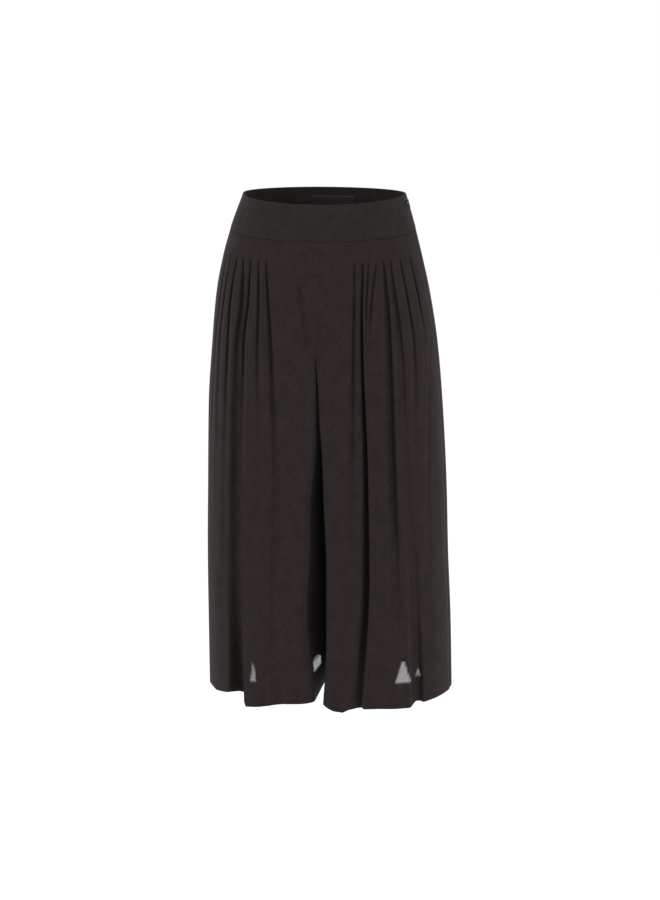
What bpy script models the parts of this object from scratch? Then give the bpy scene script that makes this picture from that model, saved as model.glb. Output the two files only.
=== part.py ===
"""Wide-leg pleated culottes, held in the hollow form that a wearer gives them.

Metres. +Z is up and -Y is the front, so the wearer's left is +X. The origin is the middle of the
waistband's ring. Each cut panel is a wall of cloth of its own: a grid of points laid on the worn
section, pushed in along each pleat, with a second grid one cloth thickness inside it.
"""

import math

import bmesh
import bpy
import numpy as np
from mathutils import Matrix, Vector

# ---- driving dimensions -------------------------------------------------------------------
BAND_TOP = 0.0270  # waistband, above the origin
BAND_FOOT = -0.0270
HEM_Z = -0.7550
CLOTH = 0.0012  # wall of one layer, thicker than the real crepe so that it makes a sound solid
HEM_CLOTH = 0.0020  # the turned-up hem, two layers
HEM_TURN = 0.0370
HEM_LINE_FROM = -0.5000  # the hem line's rise and fall dies out above this height
BAND_CLOTH = 0.0022
BAND_PROUD = 0.0005
SEAM_GAP = 0.0003
TILT = 0.105  # the waist drops towards the front, metres of height per metre ahead of the sides
TILT_END = -0.200  # the tilt has gone by this height
SIDE_SEAM_Y = -0.012
CROTCH_Z = -0.300
FRONT_FORK_Z = -0.190  # where the front centre seam starts to curve back between the legs
BACK_FORK_Z = -0.150
OPENING_RATE = 0.030  # how fast the two legs part below the crotch seam
PLEATS_FROM = -0.056  # the pleats start here, stitched down below the band
PLEAT_TOP_WIDTH = 0.0055
TUCK_FLOOR = 0.15  # how much of its floor a pleat has at its top
LEAN_FROM, LEAN_OVER = 54, 30  # degrees: nearer the side than this, pleats are pushed in sideways too
REACH_SHARE = 0.76  # a pleat's columns reach this share of the way to its neighbours'
FLOOR_SHARE = 0.60  # a pleat's floor takes at most this share of its half width
EDGE_FLAT = 0.004  # a side seam lies flat this far on each side, and pleats fade in beyond it
EDGE_EASE = 0.014
ARC_POINTS = 410  # samples of a half section up to the side
PAST_POINTS = 60  # and just past it

# The worn section: height, half width to the wearer's right, to the left, depth in front,
# depth behind, and squareness (2 is an ellipse).
SECTIONS = (
    (0.0270, 0.1230, 0.1280, 0.0955, 0.0955, 2.00),
    (-0.0270, 0.1430, 0.1435, 0.1050, 0.1060, 2.00),
    (-0.0740, 0.1560, 0.1550, 0.1120, 0.1160, 2.05),
    (-0.1300, 0.1660, 0.1670, 0.1190, 0.1270, 2.10),
    (-0.2050, 0.1725, 0.1785, 0.1280, 0.1370, 2.12),
    (-0.3000, 0.1785, 0.1868, 0.1360, 0.1430, 2.15),
    (-0.4300, 0.1802, 0.1938, 0.1400, 0.1470, 2.18),
    (-0.5300, 0.1812, 0.1965, 0.1420, 0.1490, 2.20),
    (-0.6440, 0.1802, 0.2012, 0.1440, 0.1510, 2.20),
    (-0.7550, 0.1790, 0.2036, 0.1450, 0.1520, 2.20),
)

# Where the two legs part: height, the middle of the gap in front, half the gap on the wearer's
# right and on the left in front, the same three behind, and the rounding of the right leg's corner
# and of the left leg's.
PARTING = (
    (-0.0270, 0.0000, 0.0000, 0.0000, 0.000, 0.0000, 0.0000, 0.002, 0.002),
    (-0.1300, 0.0010, 0.0005, 0.0005, 0.000, 0.0005, 0.0005, 0.002, 0.002),
    (-0.1900, 0.0060, 0.0010, 0.0010, 0.000, 0.0010, 0.0010, 0.003, 0.005),
    (-0.3050, 0.0092, 0.0027, 0.0028, 0.000, 0.0030, 0.0030, 0.006, 0.012),
    (-0.3670, 0.0105, 0.0066, 0.0071, 0.000, 0.0040, 0.0040, 0.008, 0.009),
    (-0.4300, 0.0102, 0.0125, 0.0098, 0.000, 0.0050, 0.0050, 0.008, 0.007),
    (-0.5200, 0.0118, 0.0162, 0.0127, 0.000, 0.0060, 0.0060, 0.008, 0.006),
    (-0.6100, 0.0112, 0.0205, 0.0135, 0.000, 0.0070, 0.0070, 0.009, 0.007),
    (-0.6600, 0.0110, 0.0170, 0.0138, 0.000, 0.0080, 0.0080, 0.010, 0.007),
    (-0.7550, 0.0126, 0.0070, 0.0066, 0.000, 0.0090, 0.0090, 0.018, 0.010),
)
INSEAM_X = 0.002  # the inseams' distance from the middle at the crotch
INSEAM_SWING = 0.006  # and how much farther to the wearer's left they are at the hem
INSEAM_OPENING = 0.004

# One row a pleat, in millimetres. The first six numbers are its distance from the centre line at
# these heights, the next six its depth there, then its width towards the centre and away from it
# at the thigh, the same at the hem, and half the width of its floor (0 is a plain crease).
LEVELS = (-0.060, -0.130, -0.200, -0.390, -0.560, -0.755)
RIGHT_FRONT_PLEATS = (
    (73, 68, 63, 55, 57, 57, 3.0, 6, 7, 5, 4, 3, 10, 7, 30, 10, 0),
    (85, 84, 84, 78, 76, 72, 3.0, 6, 5, 0.5, 0, 0, 7, 7, 8, 8, 0),
    (98, 101, 107, 108, 104, 98, 3.0, 6, 6, 1, 0, 0, 7, 8, 8, 8, 0),
    (111, 110, 115, 114, 114, 111, 3.0, 8, 9, 12, 15, 28, 5, 18, 5, 30, 3),
    (122, 132, 135, 139, 142, 138, 3.0, 6, 6, 1.5, 0.5, 0, 8, 8, 9, 9, 0),
    (134, 144, 150, 154, 157, 158, 3.0, 4, 4, 0.5, 0, 0, 8, 9, 10, 10, 0),
    (144, 152, 160, 166, 167, 167, 2.0, 2.5, 2, 0.5, 0, 0, 8, 8, 8, 8, 0),
)
LEFT_FRONT_PLEATS = (
    (62, 63, 63, 62, 60, 55, 3.0, 5, 6, 4, 1, 0, 8, 7, 9, 9, 0),
    (74, 74, 75.5, 83.5, 86, 76.5, 3.5, 9, 17, 24, 24, 11, 4.2, 4, 18, 6, 1.2),
    (82.5, 81, 82.5, 92, 94, 84, 3.0, 4, 0.5, 0, 0, 0, 6, 6, 8, 8, 0),
    (93, 88, 86, 103, 105, 97, 3.0, 5, 1, 0, 0, 0, 7, 7, 8, 8, 0),
    (103, 110, 114, 122, 127, 129, 3.0, 7, 8, 8, 2.5, 0, 11, 8, 12, 9, 6),
    (112.5, 122, 129.5, 139, 152, 158, 3.0, 6, 5, 2, 5, 13, 10, 10, 11, 20, 4),
    (126, 139.5, 149.5, 156, 163, 167, 3.0, 6, 5, 0.5, 0, 0, 8, 8, 9, 9, 0),
    (139, 154.5, 165, 167, 170, 174, 3.0, 5, 1, 0, 0, 0, 7, 7, 8, 8, 0),
    (147, 163, 171, 172, 176, 184, 0.0, 0, 0.5, 2.5, 0.5, 0, 8, 8, 10, 10, 0),
)
BACK_PLEATS = (
    (60, 62, 60, 56, 56, 54, 3.0, 6, 8, 9, 8, 8, 9, 9, 12, 12, 0),
    (73, 76, 78, 78, 77, 76, 3.0, 5, 4, 1, 0, 0, 8, 8, 8, 8, 0),
    (86, 90, 94, 98, 101, 104, 3.0, 7, 12, 18, 22, 24, 8, 12, 9, 20, 1.5),
    (99, 104, 110, 116, 120, 124, 3.0, 5, 5, 2, 0, 0, 8, 8, 9, 9, 0),
    (112, 119, 126, 136, 142, 146, 3.0, 7, 11, 15, 17, 18, 9, 11, 10, 16, 1.5),
    (125, 134, 141, 152, 158, 162, 3.0, 6, 6, 4, 2, 0, 9, 9, 9, 9, 0),
    (137, 147, 155, 166, 171, 174, 3.0, 5, 6, 6, 5, 4, 9, 9, 10, 10, 0),
)

# How far the hem hangs below its level, in millimetres, at distances from the centre line.
RIGHT_FRONT_HEM = (
    (0, -8), (40, -5), (80, 3), (104, 6), (109, -8),
    (130, -12), (145, -9), (158, -7), (170, -10),
)
LEFT_FRONT_HEM = (
    (0, -8), (21, -5), (35, 3), (50, 6), (60, 1), (80, 0),
    (105, 1), (152, 4), (158, -3), (170, -2), (205, -7),
)
RIGHT_BACK_HEM = ((0, -8), (31, -14), (70, -4), (100, -6), (130, -16), (160, -9), (180, -9))
LEFT_BACK_HEM = ((0, -8), (50, -2), (80, -6), (107, -16), (140, -9), (180, -8))

# Rows of each panel, from the band's foot to the hem.
ROWS = (
    BAND_FOOT - SEAM_GAP, -0.0560, -0.0660, -0.0850, -0.1100, -0.1400, -0.1650, FRONT_FORK_Z,
    -0.2220, -0.2500, -0.2720, -0.2880, CROTCH_Z, -0.3400, -0.4000, -0.4700, -0.5450, -0.6200,
    -0.6800, HEM_Z + HEM_TURN + 0.004, HEM_Z + HEM_TURN, HEM_Z,
)
FACE_COLUMNS = 4  # columns across a leg's inner face, round its corner, and on to the first pleat
CORNER_COLUMNS = 3
PLAIN_COLUMNS = 2
SIDE_COLUMNS = 2  # from the last pleat to the side seam, in front and behind
BACK_SIDE_COLUMNS = 4


# ---- tables and sections ------------------------------------------------------------------
def smooth(t):
    t = np.clip(t, 0.0, 1.0)
    return t * t * (3 - 2 * t)


def through(z, heights, values):
    """The value at height z of a curve that passes through a table without overshooting."""
    x, y = np.asarray(heights, float)[::-1], np.asarray(values, float)[::-1]
    z = float(np.clip(z, x[0], x[-1]))
    step, rise = np.diff(x), np.diff(y)
    grade = rise / step
    slope = np.zeros(len(x))
    slope[0], slope[-1] = grade[0], grade[-1]
    same = grade[:-1] * grade[1:] > 0
    both = np.where(same, grade[:-1] + grade[1:], 1.0)
    slope[1:-1] = np.where(same, 2 * grade[:-1] * grade[1:] / both, 0.0)
    i = int(np.clip(np.searchsorted(x, z) - 1, 0, len(step) - 1))
    t = (z - x[i]) / step[i]
    ends = y[i] * (1 + 2 * t) * (1 - t) ** 2 + y[i + 1] * t * t * (3 - 2 * t)
    return float(ends + step[i] * (slope[i] * t * (1 - t) ** 2 + slope[i + 1] * t * t * (t - 1)))


def section(z):
    heights = [row[0] for row in SECTIONS]
    return [through(z, heights, [row[k] for row in SECTIONS]) for k in range(1, 6)]


def parting(z, side, face):
    """The middle of the gap between the legs, half the gap on this side, and the corner's radius."""
    heights = [row[0] for row in PARTING]
    first = 1 if face < 0 else 4
    columns = (first, first + 1, first + 2, 8 if side > 0 else 7)
    middle, right, left, corner = (through(z, heights, [row[k] for row in PARTING]) for k in columns)
    return side * middle, (left if side > 0 else right), corner


def ring(z, side, face, start=-12.0):
    """A half section as points (out, forward) from beyond the centre line to past the side.

    Both are positive outwards: out is X times side, and forward is Y times face.
    """
    right, left, front, back, n = section(z)
    half = left if side > 0 else right
    near, far = (front, back) if face < 0 else (back, front)
    angle = np.radians(np.linspace(start, 90.0, ARC_POINTS))
    out = half * np.sign(np.sin(angle)) * np.abs(np.sin(angle)) ** (2 / n)
    forward = near * np.clip(np.cos(angle), 0, 1) ** (2 / n)
    past = np.linspace(0.0005, 0.030, PAST_POINTS)
    out = np.concatenate([out, half * (1 - (past / far) ** n) ** (1 / n)])
    forward = np.concatenate([forward, -past])
    across = np.sign(out) * np.abs(out) ** (n - 1) / half**n
    ahead = np.sign(forward) * np.abs(forward) ** (n - 1) / np.where(forward > 0, near, far) ** n
    return out, forward, np.arctan2(across, ahead)


def lengths(points):
    return np.concatenate([[0], np.cumsum(np.hypot(*np.diff(points, axis=0).T))])


def height_at(z, y):
    """The waist's tilt, added to a height."""
    return z + TILT * np.minimum(y, 0) * smooth((z - TILT_END) / (BAND_FOOT - TILT_END))


# ---- one row of a panel -------------------------------------------------------------------
def base_row(z, side, face):
    """The unpleated row at one height: its points, the way it faces at each, and its marks.

    The row starts at the centre seam, or at the crotch seam or inseam below the fork, and ends at
    the side seam. The marks are distances along it: the ends of the inner face and of the corner.
    """
    out, forward, turn = ring(z, side, face)
    fork = FRONT_FORK_Z if face < 0 else BACK_FORK_Z
    middle, gap, corner = parting(z, side, face)
    depth = forward.max()
    t = (fork - z) / (fork - CROTCH_Z)
    seam_at = face * SIDE_SEAM_Y + SEAM_GAP / 2
    last = int(np.argmax(forward < seam_at))
    if t <= 0:
        x0 = middle + SEAM_GAP / 2
        first = int(np.argmax(out > x0))
        lead = np.array([[x0, np.interp(x0, out[:ARC_POINTS], forward[:ARC_POINTS])]])
        face_end = corner_end = 0.0
    else:
        seam_y = depth * math.sqrt(max(0.0, 1 - min(t, 1.0) ** 2)) + SEAM_GAP / 2
        radius = min(corner, 0.7 * (depth - seam_y))
        inseam = side * (INSEAM_X + INSEAM_SWING * smooth((CROTCH_Z - z) / (CROTCH_Z - HEM_Z)))

        def inner(y):
            share = smooth(y / depth)
            curve = fork - (fork - CROTCH_Z) * np.sqrt(np.clip(1 - (y / depth) ** 2, 0, 1))
            below = 1 - np.exp(-np.clip(curve - z, 0, 1) / OPENING_RATE)
            centre = inseam + (middle - inseam) * share
            return centre + SEAM_GAP / 2 + below * (INSEAM_OPENING + (gap - INSEAM_OPENING) * share)

        corner_x = float(inner(depth - radius)) + radius
        corner_y = float(np.interp(corner_x, out[:ARC_POINTS], forward[:ARC_POINTS]))
        rise = np.linspace(seam_y, corner_y - radius, 40)
        turned = np.radians(np.linspace(0, 90, 14))[1:]
        inside = np.stack([inner(rise), rise], 1)
        if radius < 0.001:
            inside[:, 0] += corner_x - radius - inside[-1, 0]
        arc = [corner_x - radius * np.cos(turned), corner_y - radius + radius * np.sin(turned)]
        lead = np.concatenate([inside, np.stack(arc, 1)])
        first = int(np.argmax(out > corner_x + 1e-5))
        face_end, corner_end = float(lengths(inside)[-1]), float(lengths(lead)[-1])
    share = (seam_at - forward[last - 1]) / (forward[last] - forward[last - 1])
    end = [[out[last - 1] + share * (out[last] - out[last - 1]), seam_at]]
    points = np.concatenate([lead, np.stack([out[first:last], forward[first:last]], 1), end])
    facing = np.concatenate([np.zeros(len(lead)), turn[first : last + 1]])
    return points, facing, face_end, corner_end, t


def pleat_row(row, z, side):
    """A pleat's place, depth, widths and floor at one height."""
    mm = [0.001 * v for v in row]
    place = through(z, LEVELS, mm[0:6])
    if z > LEVELS[0]:
        half = 1 if side > 0 else 0
        place *= section(z)[half] / section(LEVELS[0])[half]
    depth = through(z, LEVELS, mm[6:12]) * smooth((PLEATS_FROM - z) / 0.010)
    at = (LEVELS[0], LEVELS[2], LEVELS[-1])
    inner = through(z, at, (PLEAT_TOP_WIDTH, mm[12], mm[14]))
    outer = through(z, at, (PLEAT_TOP_WIDTH, mm[13], mm[15]))
    opened = float(smooth((LEVELS[0] - z) / (LEVELS[0] - LEVELS[2])))
    return place, depth, inner, outer, mm[16] * (TUCK_FLOOR + (1 - TUCK_FLOOR) * opened)


def row_points(z, side, face, pleats):
    """The cloth's outer line at one height, as (out, forward) at each column.

    The columns of two neighbouring pleats share the way between them by depth. A trough keeps its
    whole width, even where it runs in under its neighbour's.
    """
    points, facing, face_end, corner_end, t = base_row(z, side, face)
    along = lengths(points)
    total = along[-1]
    lead = int(np.searchsorted(along, corner_end + 1e-9))
    rising = slice(lead, lead + int(np.argmax(points[lead:, 0])) + 1)
    found = []
    for row in pleats:
        place, *rest = pleat_row(row, z, side)
        found.append((float(np.interp(place, points[rising, 0], along[rising])), *rest))
    marks = [corner_end] + [f[0] for f in found] + [total]
    depths = [found[0][1]] + [f[1] for f in found] + [found[-1][1]]
    stops, folds = [], []
    for k, (place, depth, inner, outer, floor) in enumerate(found):
        before, after = (np.clip(depth / (depth + depths[n] + 1e-6), 0.25, 0.75) for n in (k, k + 2))
        near = min(inner, REACH_SHARE * before * (place - marks[k]))
        far = min(outer, REACH_SHARE * after * (marks[k + 2] - place))
        flat = min(floor, FLOOR_SHARE * near, FLOOR_SHARE * far)
        bottom = [place - flat, place + flat] if floor else [place]
        stops += [place - near, *bottom, place + far]
        folds.append((place, depth, inner, outer, min(floor, FLOOR_SHARE * inner, FLOOR_SHARE * outer)))
    plain, share = stops[0], float(smooth(t))
    face_mark = (1 - share) * 0.30 * plain + share * face_end
    corner_mark = (1 - share) * 0.60 * plain + share * corner_end
    columns = np.concatenate([
        np.linspace(0, face_mark, FACE_COLUMNS + 1)[:-1],
        np.linspace(face_mark, corner_mark, CORNER_COLUMNS + 1)[:-1],
        np.linspace(corner_mark, plain, PLAIN_COLUMNS + 1)[:-1],
        stops,
        np.linspace(stops[-1], total, (SIDE_COLUMNS if face < 0 else BACK_SIDE_COLUMNS) + 1)[1:],
    ])
    laid = np.stack([np.interp(columns, along, points[:, k]) for k in (0, 1)], 1)
    ease = smooth((total - columns - EDGE_FLAT) / EDGE_EASE)
    for place, depth, inner, outer, floor in folds:
        away = columns - place
        reach = np.where(away < 0, inner, outer)
        u = np.clip((np.abs(away) - floor) / np.maximum(reach - floor, 1e-4), 0, 1)
        trough = 0.5 * (1 + np.cos(math.pi * u)) * ease
        lean = float(np.interp(place, along, facing))
        lean *= float(smooth((math.degrees(lean) - LEAN_FROM) / LEAN_OVER))
        laid -= (depth * trough)[:, None] * np.array([math.sin(lean), math.cos(lean)])
    return laid


def inset(points, thickness, start):
    """The same line moved in by one cloth thickness, with its corners mitred.

    Its two ends move square to their seams, so that the panels that meet there stay apart.
    """
    along = np.diff(points, axis=0)
    along /= np.maximum(np.hypot(*along.T), 1e-9)[:, None]
    inward = np.stack([along[:, 1], -along[:, 0]], 1)
    before = np.concatenate([inward[:1], inward])
    after = np.concatenate([inward, inward[-1:]])
    miter = before + after
    miter /= np.maximum(np.hypot(*miter.T), 1e-9)[:, None]
    stretch = np.clip((miter * after).sum(1), 0.5, 1.0)
    miter[0], miter[-1] = (math.sin(start), -math.cos(start)), (-1, 0)
    stretch[0] = stretch[-1] = 1.0
    return points + miter * (thickness / stretch)[:, None]


# ---- objects ------------------------------------------------------------------------------
def material(name, colour, roughness, metallic=0.0):
    made = bpy.data.materials.new(name)
    made.use_nodes = True
    shader = made.node_tree.nodes["Principled BSDF"]
    shader.inputs["Base Color"].default_value = (*colour, 1)
    shader.inputs["Roughness"].default_value = roughness
    shader.inputs["Metallic"].default_value = metallic
    return made


def add_object(name, vertices, faces, slot, soft=True):
    mesh = bpy.data.meshes.new(name)
    bm = bmesh.new()
    made = [bm.verts.new(v) for v in vertices]
    for face in faces:
        bm.faces.new([made[i] for i in face])
    bmesh.ops.recalc_face_normals(bm, faces=bm.faces)
    bm.to_mesh(mesh)
    bm.free()
    for polygon in mesh.polygons:
        polygon.use_smooth = soft
    mesh.materials.append(slot)
    obj = bpy.data.objects.new(name, mesh)
    bpy.context.scene.collection.objects.link(obj)
    return obj


def wall(name, outer, inner, slot):
    """A closed wall between two grids of points with the same rows and columns."""
    rows, columns = outer.shape[:2]
    count = rows * columns
    vertices = np.concatenate([outer.reshape(-1, 3), inner.reshape(-1, 3)])

    def at(i, j, layer):
        return layer * count + i * columns + j

    faces = []
    for i in range(rows - 1):
        for j in range(columns - 1):
            corners = [(i, j), (i, j + 1), (i + 1, j + 1), (i + 1, j)]
            faces.append([at(*c, 0) for c in corners])
            faces.append([at(*c, 1) for c in reversed(corners)])
    for i in (0, rows - 1):
        for j in range(columns - 1):
            faces.append([at(i, j, 0), at(i, j, 1), at(i, j + 1, 1), at(i, j + 1, 0)])
    for j in (0, columns - 1):
        for i in range(rows - 1):
            faces.append([at(i, j, 0), at(i + 1, j, 0), at(i + 1, j, 1), at(i, j, 1)])
    return add_object(name, vertices.tolist(), faces, slot)


def hem_drop(z, out, hem):
    """How far a point hangs below its level, growing from the knee to the hem."""
    places, drops = np.array(hem, float).T
    grown = smooth((HEM_LINE_FROM - z) / (HEM_LINE_FROM - HEM_Z))
    return 0.001 * np.interp(1000 * out, places, drops) * grown


def panel(name, side, face, pleats, hem_line, slot):
    """One leg panel, from the waistband's foot to the hem."""
    fork = FRONT_FORK_Z if face < 0 else BACK_FORK_Z
    outer, inner = [], []
    for z in ROWS:
        line = row_points(z, side, face, pleats)
        thick = HEM_CLOTH if z <= HEM_Z + HEM_TURN + 1e-6 else CLOTH
        behind = line[:, 1].max() - line[0, 1] if z < fork else 0
        start = math.pi / 2 * float(smooth(behind / 0.004))
        drop = hem_drop(z, line[:, 0], hem_line)
        for grid, points in ((outer, line), (inner, inset(line, thick, start))):
            x, y = side * points[:, 0], face * points[:, 1]
            grid.append(np.stack([x, y, height_at(z, y) - drop], 1))
    return wall(name, np.array(outer), np.array(inner), slot)


def whole_ring(z):
    """The whole section at one height, clockwise from behind, with distances from the front centre.

    Distances are negative to the wearer's right. It also gives the way in at each point.
    """
    parts = []
    for side in (-1, 1):
        out, forward, turn = ring(z, side, -1, 0.0)
        back_out, back_forward, back_turn = ring(z, side, 1, 0.0)
        x = np.concatenate([out[:ARC_POINTS], back_out[: ARC_POINTS - 1][::-1]])
        y = np.concatenate([-forward[:ARC_POINTS], back_forward[: ARC_POINTS - 1][::-1]])
        angle = np.concatenate([turn[:ARC_POINTS], math.pi - back_turn[: ARC_POINTS - 1][::-1]])
        points = np.stack([side * x, y], 1)
        way = np.stack([-side * np.sin(angle), np.cos(angle)], 1)
        parts.append((points, way, lengths(points)))
    (rp, rw, rl), (lp, lw, ll) = parts
    far = np.concatenate([-rl[:0:-1], ll])
    return np.concatenate([rp[:0:-1], lp]), np.concatenate([rw[:0:-1], lw]), far


def side_mark(z, side):
    """The distance from the front centre to the side seam, signed by side."""
    points, _, far = whole_ring(z)
    keep = (np.sign(points[:, 0]) == side) & (np.abs(far) < 0.32)
    y, d = points[keep, 1], np.abs(far[keep])
    order = np.argsort(d)
    return side * float(np.interp(SIDE_SEAM_Y, y[order], d[order]))


def ring_point(z, distance, depth_in):
    """A point at a distance round the section from the front centre, moved in by a depth."""
    points, way, far = whole_ring(z)
    at = np.array([np.interp(distance, far, points[:, k]) for k in (0, 1)])
    inward = np.array([np.interp(distance, far, way[:, k]) for k in (0, 1)])
    return at + depth_in * inward / np.hypot(*inward)


def swept(name, profile, places, slot, soft=True):
    """A strip round the section: profile is (height, depth in) and places is a function of height.

    places gives the distance from the front centre at each station.
    """
    rows = []
    for z, depth_in in profile:
        rows.append([[*ring_point(z, d, depth_in), z] for d in places(z)])
    grid = np.array(rows)
    grid[:, :, 2] = height_at(grid[:, :, 2], grid[:, :, 1])
    count, stations = grid.shape[:2]
    faces = []
    for i in range(count):
        here, there = i * stations, (i + 1) % count * stations
        for j in range(stations - 1):
            faces.append([here + j, here + j + 1, there + j + 1, there + j])
    faces.append([i * stations for i in range(count)])
    faces.append([i * stations + stations - 1 for i in reversed(range(count))])
    return add_object(name, grid.reshape(-1, 3).tolist(), faces, slot, soft)


def band_profile():
    """The waistband's closed outline: height and depth in from the section, with eased edges."""
    top, foot = BAND_TOP, BAND_FOOT
    out, back = -BAND_PROUD, BAND_CLOTH - BAND_PROUD
    return (
        (top - 0.0006, out), (0.5 * (top + foot), out), (foot + 0.0006, out), (foot, out + 0.0007),
        (foot, back - 0.0005), (foot + 0.0006, back), (0.5 * (top + foot), back),
        (top - 0.0006, back), (top, back - 0.0006), (top, out + 0.0006),
    )


def build_band(slot):
    half_gap = SEAM_GAP / 2

    def front(z):
        return np.linspace(side_mark(z, -1) + half_gap, side_mark(z, 1) - half_gap, 37)

    def behind(z):
        far = whole_ring(z)[2]
        start, stop = side_mark(z, 1) + half_gap, side_mark(z, -1) - half_gap
        reach = np.linspace(0, (far[-1] - start) + (stop - far[0]), 41)
        return np.where(start + reach <= far[-1], start + reach, far[0] + (start + reach - far[-1]))

    swept("waistband_front", band_profile(), front, slot)
    swept("waistband_back", band_profile(), behind, slot)


LABEL = (0.070, 0.022, 0.0004)  # width, height, thickness
LABEL_DROP = 0.014  # below the back waistband's top edge
LABEL_CENTRE = 0.004  # towards the wearer's left


def build_label(slot):
    width, high, thick = LABEL
    top = BAND_TOP - LABEL_DROP
    near = BAND_CLOTH - BAND_PROUD + SEAM_GAP
    profile = (
        (top, near), (top, near + thick), (top - high / 2, near + thick),
        (top - high, near + thick), (top - high, near), (top - high / 2, near),
    )

    def places(z):
        points, _, far = whole_ring(z)
        left = (points[:, 0] > 0) & (points[:, 1] > 0)
        right = (points[:, 0] <= 0) & (points[:, 1] > 0)
        found = []
        for x in np.linspace(LABEL_CENTRE - width / 2, LABEL_CENTRE + width / 2, 13):
            pick = left if x > 0 else right
            order = np.argsort(points[pick, 0])
            found.append(float(np.interp(x, points[pick, 0][order], far[pick][order])))
        return np.array(found)

    swept("label", profile, places, slot)


ZIP_TOP, ZIP_FOOT = 0.0190, -0.1900
ZIP_WIDTH, ZIP_THICK = 0.020, 0.0008


def build_zip_tape(slot):
    """The closed zip inside the wearer's left side seam, as one strip with its row of teeth."""
    profile = []
    heights = (ZIP_TOP, 0.0, -0.0230, -0.0320, -0.0600, -0.1000, -0.1450, ZIP_FOOT)
    for z in heights:
        near = (BAND_CLOTH - BAND_PROUD if z > -0.028 else CLOTH) + 2 * SEAM_GAP
        profile.append((z, near))
    back = [(z, near + ZIP_THICK) for z, near in reversed(profile)]

    def places(z):
        return side_mark(z, 1) + np.linspace(-ZIP_WIDTH / 2, ZIP_WIDTH / 2, 7)

    swept("zip_tape", tuple(profile) + tuple(back), places, slot)


# The slider sits outside the band at the top of the side seam, and the pull tab hangs from it.
SLIDER = (0.0050, 0.0080, 0.0016)  # across, high, thick
SLIDER_Z = 0.0160
PIN_OUT, PIN_UP, PIN_R = 0.0034, 0.0020, 0.00035
LUG_IN, LUG_OUT, LUG_HIGH = 0.0016, 0.0024, 0.0014
BARREL_R, BARREL_HOLE, BARREL_HALF = 0.00120, 0.00065, 0.00130
PULL_LONG, PULL_HALF, PULL_THICK = 0.0110, 0.0019, 0.0009


def seam_frame():
    """Origin and axes (across, out, up) on the band's outside at the top of the left side seam."""
    d = side_mark(SLIDER_Z, 1)
    here = ring_point(SLIDER_Z, d, -BAND_PROUD)
    above = ring_point(SLIDER_Z + 0.008, side_mark(SLIDER_Z + 0.008, 1), -BAND_PROUD)
    beside = ring_point(SLIDER_Z, d + 0.004, -BAND_PROUD)
    origin = np.array([*here, height_at(SLIDER_Z, here[1])])
    up = np.array([*above, height_at(SLIDER_Z + 0.008, above[1])]) - origin
    across = np.array([*beside, height_at(SLIDER_Z, beside[1])]) - origin
    across /= np.linalg.norm(across)
    up -= across * up.dot(across)
    up /= np.linalg.norm(up)
    out = np.cross(across, up)
    return origin + out * SEAM_GAP, across, out, up


def extruded(name, outlines, slot):
    """Prisms across the seam joined into one object; an outline is (out, up) points and two ends."""
    origin, across, out, up = seam_frame()
    bodies = []
    for outline, low, high in outlines:
        vertices, faces, n = [], [], len(outline)
        for level in (low, high):
            vertices += [tuple(origin + across * level + out * a + up * b) for a, b in outline]
        for k in range(n):
            faces.append([k, (k + 1) % n, n + (k + 1) % n, n + k])
        faces.append(list(range(n - 1, -1, -1)))
        faces.append(list(range(n, 2 * n)))
        bodies.append(add_object(f"{name}_{len(bodies)}", vertices, faces, slot, False))
    main = bodies[0]
    main.name = name
    main.data.name = name
    for other in bodies[1:]:
        join = main.modifiers.new("join", "BOOLEAN")
        join.operation = "UNION"
        join.solver = "EXACT"
        join.object = other
        other.hide_render = True
        other.display_type = "WIRE"
    return main


def circle(centre_out, centre_up, radius, count):
    turn = [2 * math.pi * k / count for k in range(count)]
    return [(centre_out + radius * math.cos(a), centre_up + radius * math.sin(a)) for a in turn]


def build_slider(slot):
    wide, high, thick = SLIDER
    plate = [(0, -high / 2), (thick, -high / 2 + 0.0008), (thick, high / 2 - 0.0008), (0, high / 2)]
    lug = [
        (thick - 0.0006, PIN_UP - LUG_HIGH), (PIN_OUT + 0.0004, PIN_UP - LUG_HIGH * 0.7),
        (PIN_OUT + 0.0012, PIN_UP), (PIN_OUT + 0.0004, PIN_UP + LUG_HIGH * 0.7),
        (thick - 0.0006, PIN_UP + LUG_HIGH),
    ]
    pin = circle(PIN_OUT, PIN_UP, PIN_R, 10)
    extruded(
        "zip_slider",
        [
            (plate, -wide / 2, wide / 2),
            (lug, LUG_IN, LUG_OUT),
            (lug, -LUG_OUT, -LUG_IN),
            (pin, -LUG_IN - 0.0004, LUG_IN + 0.0004),
        ],
        slot,
    )


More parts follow.
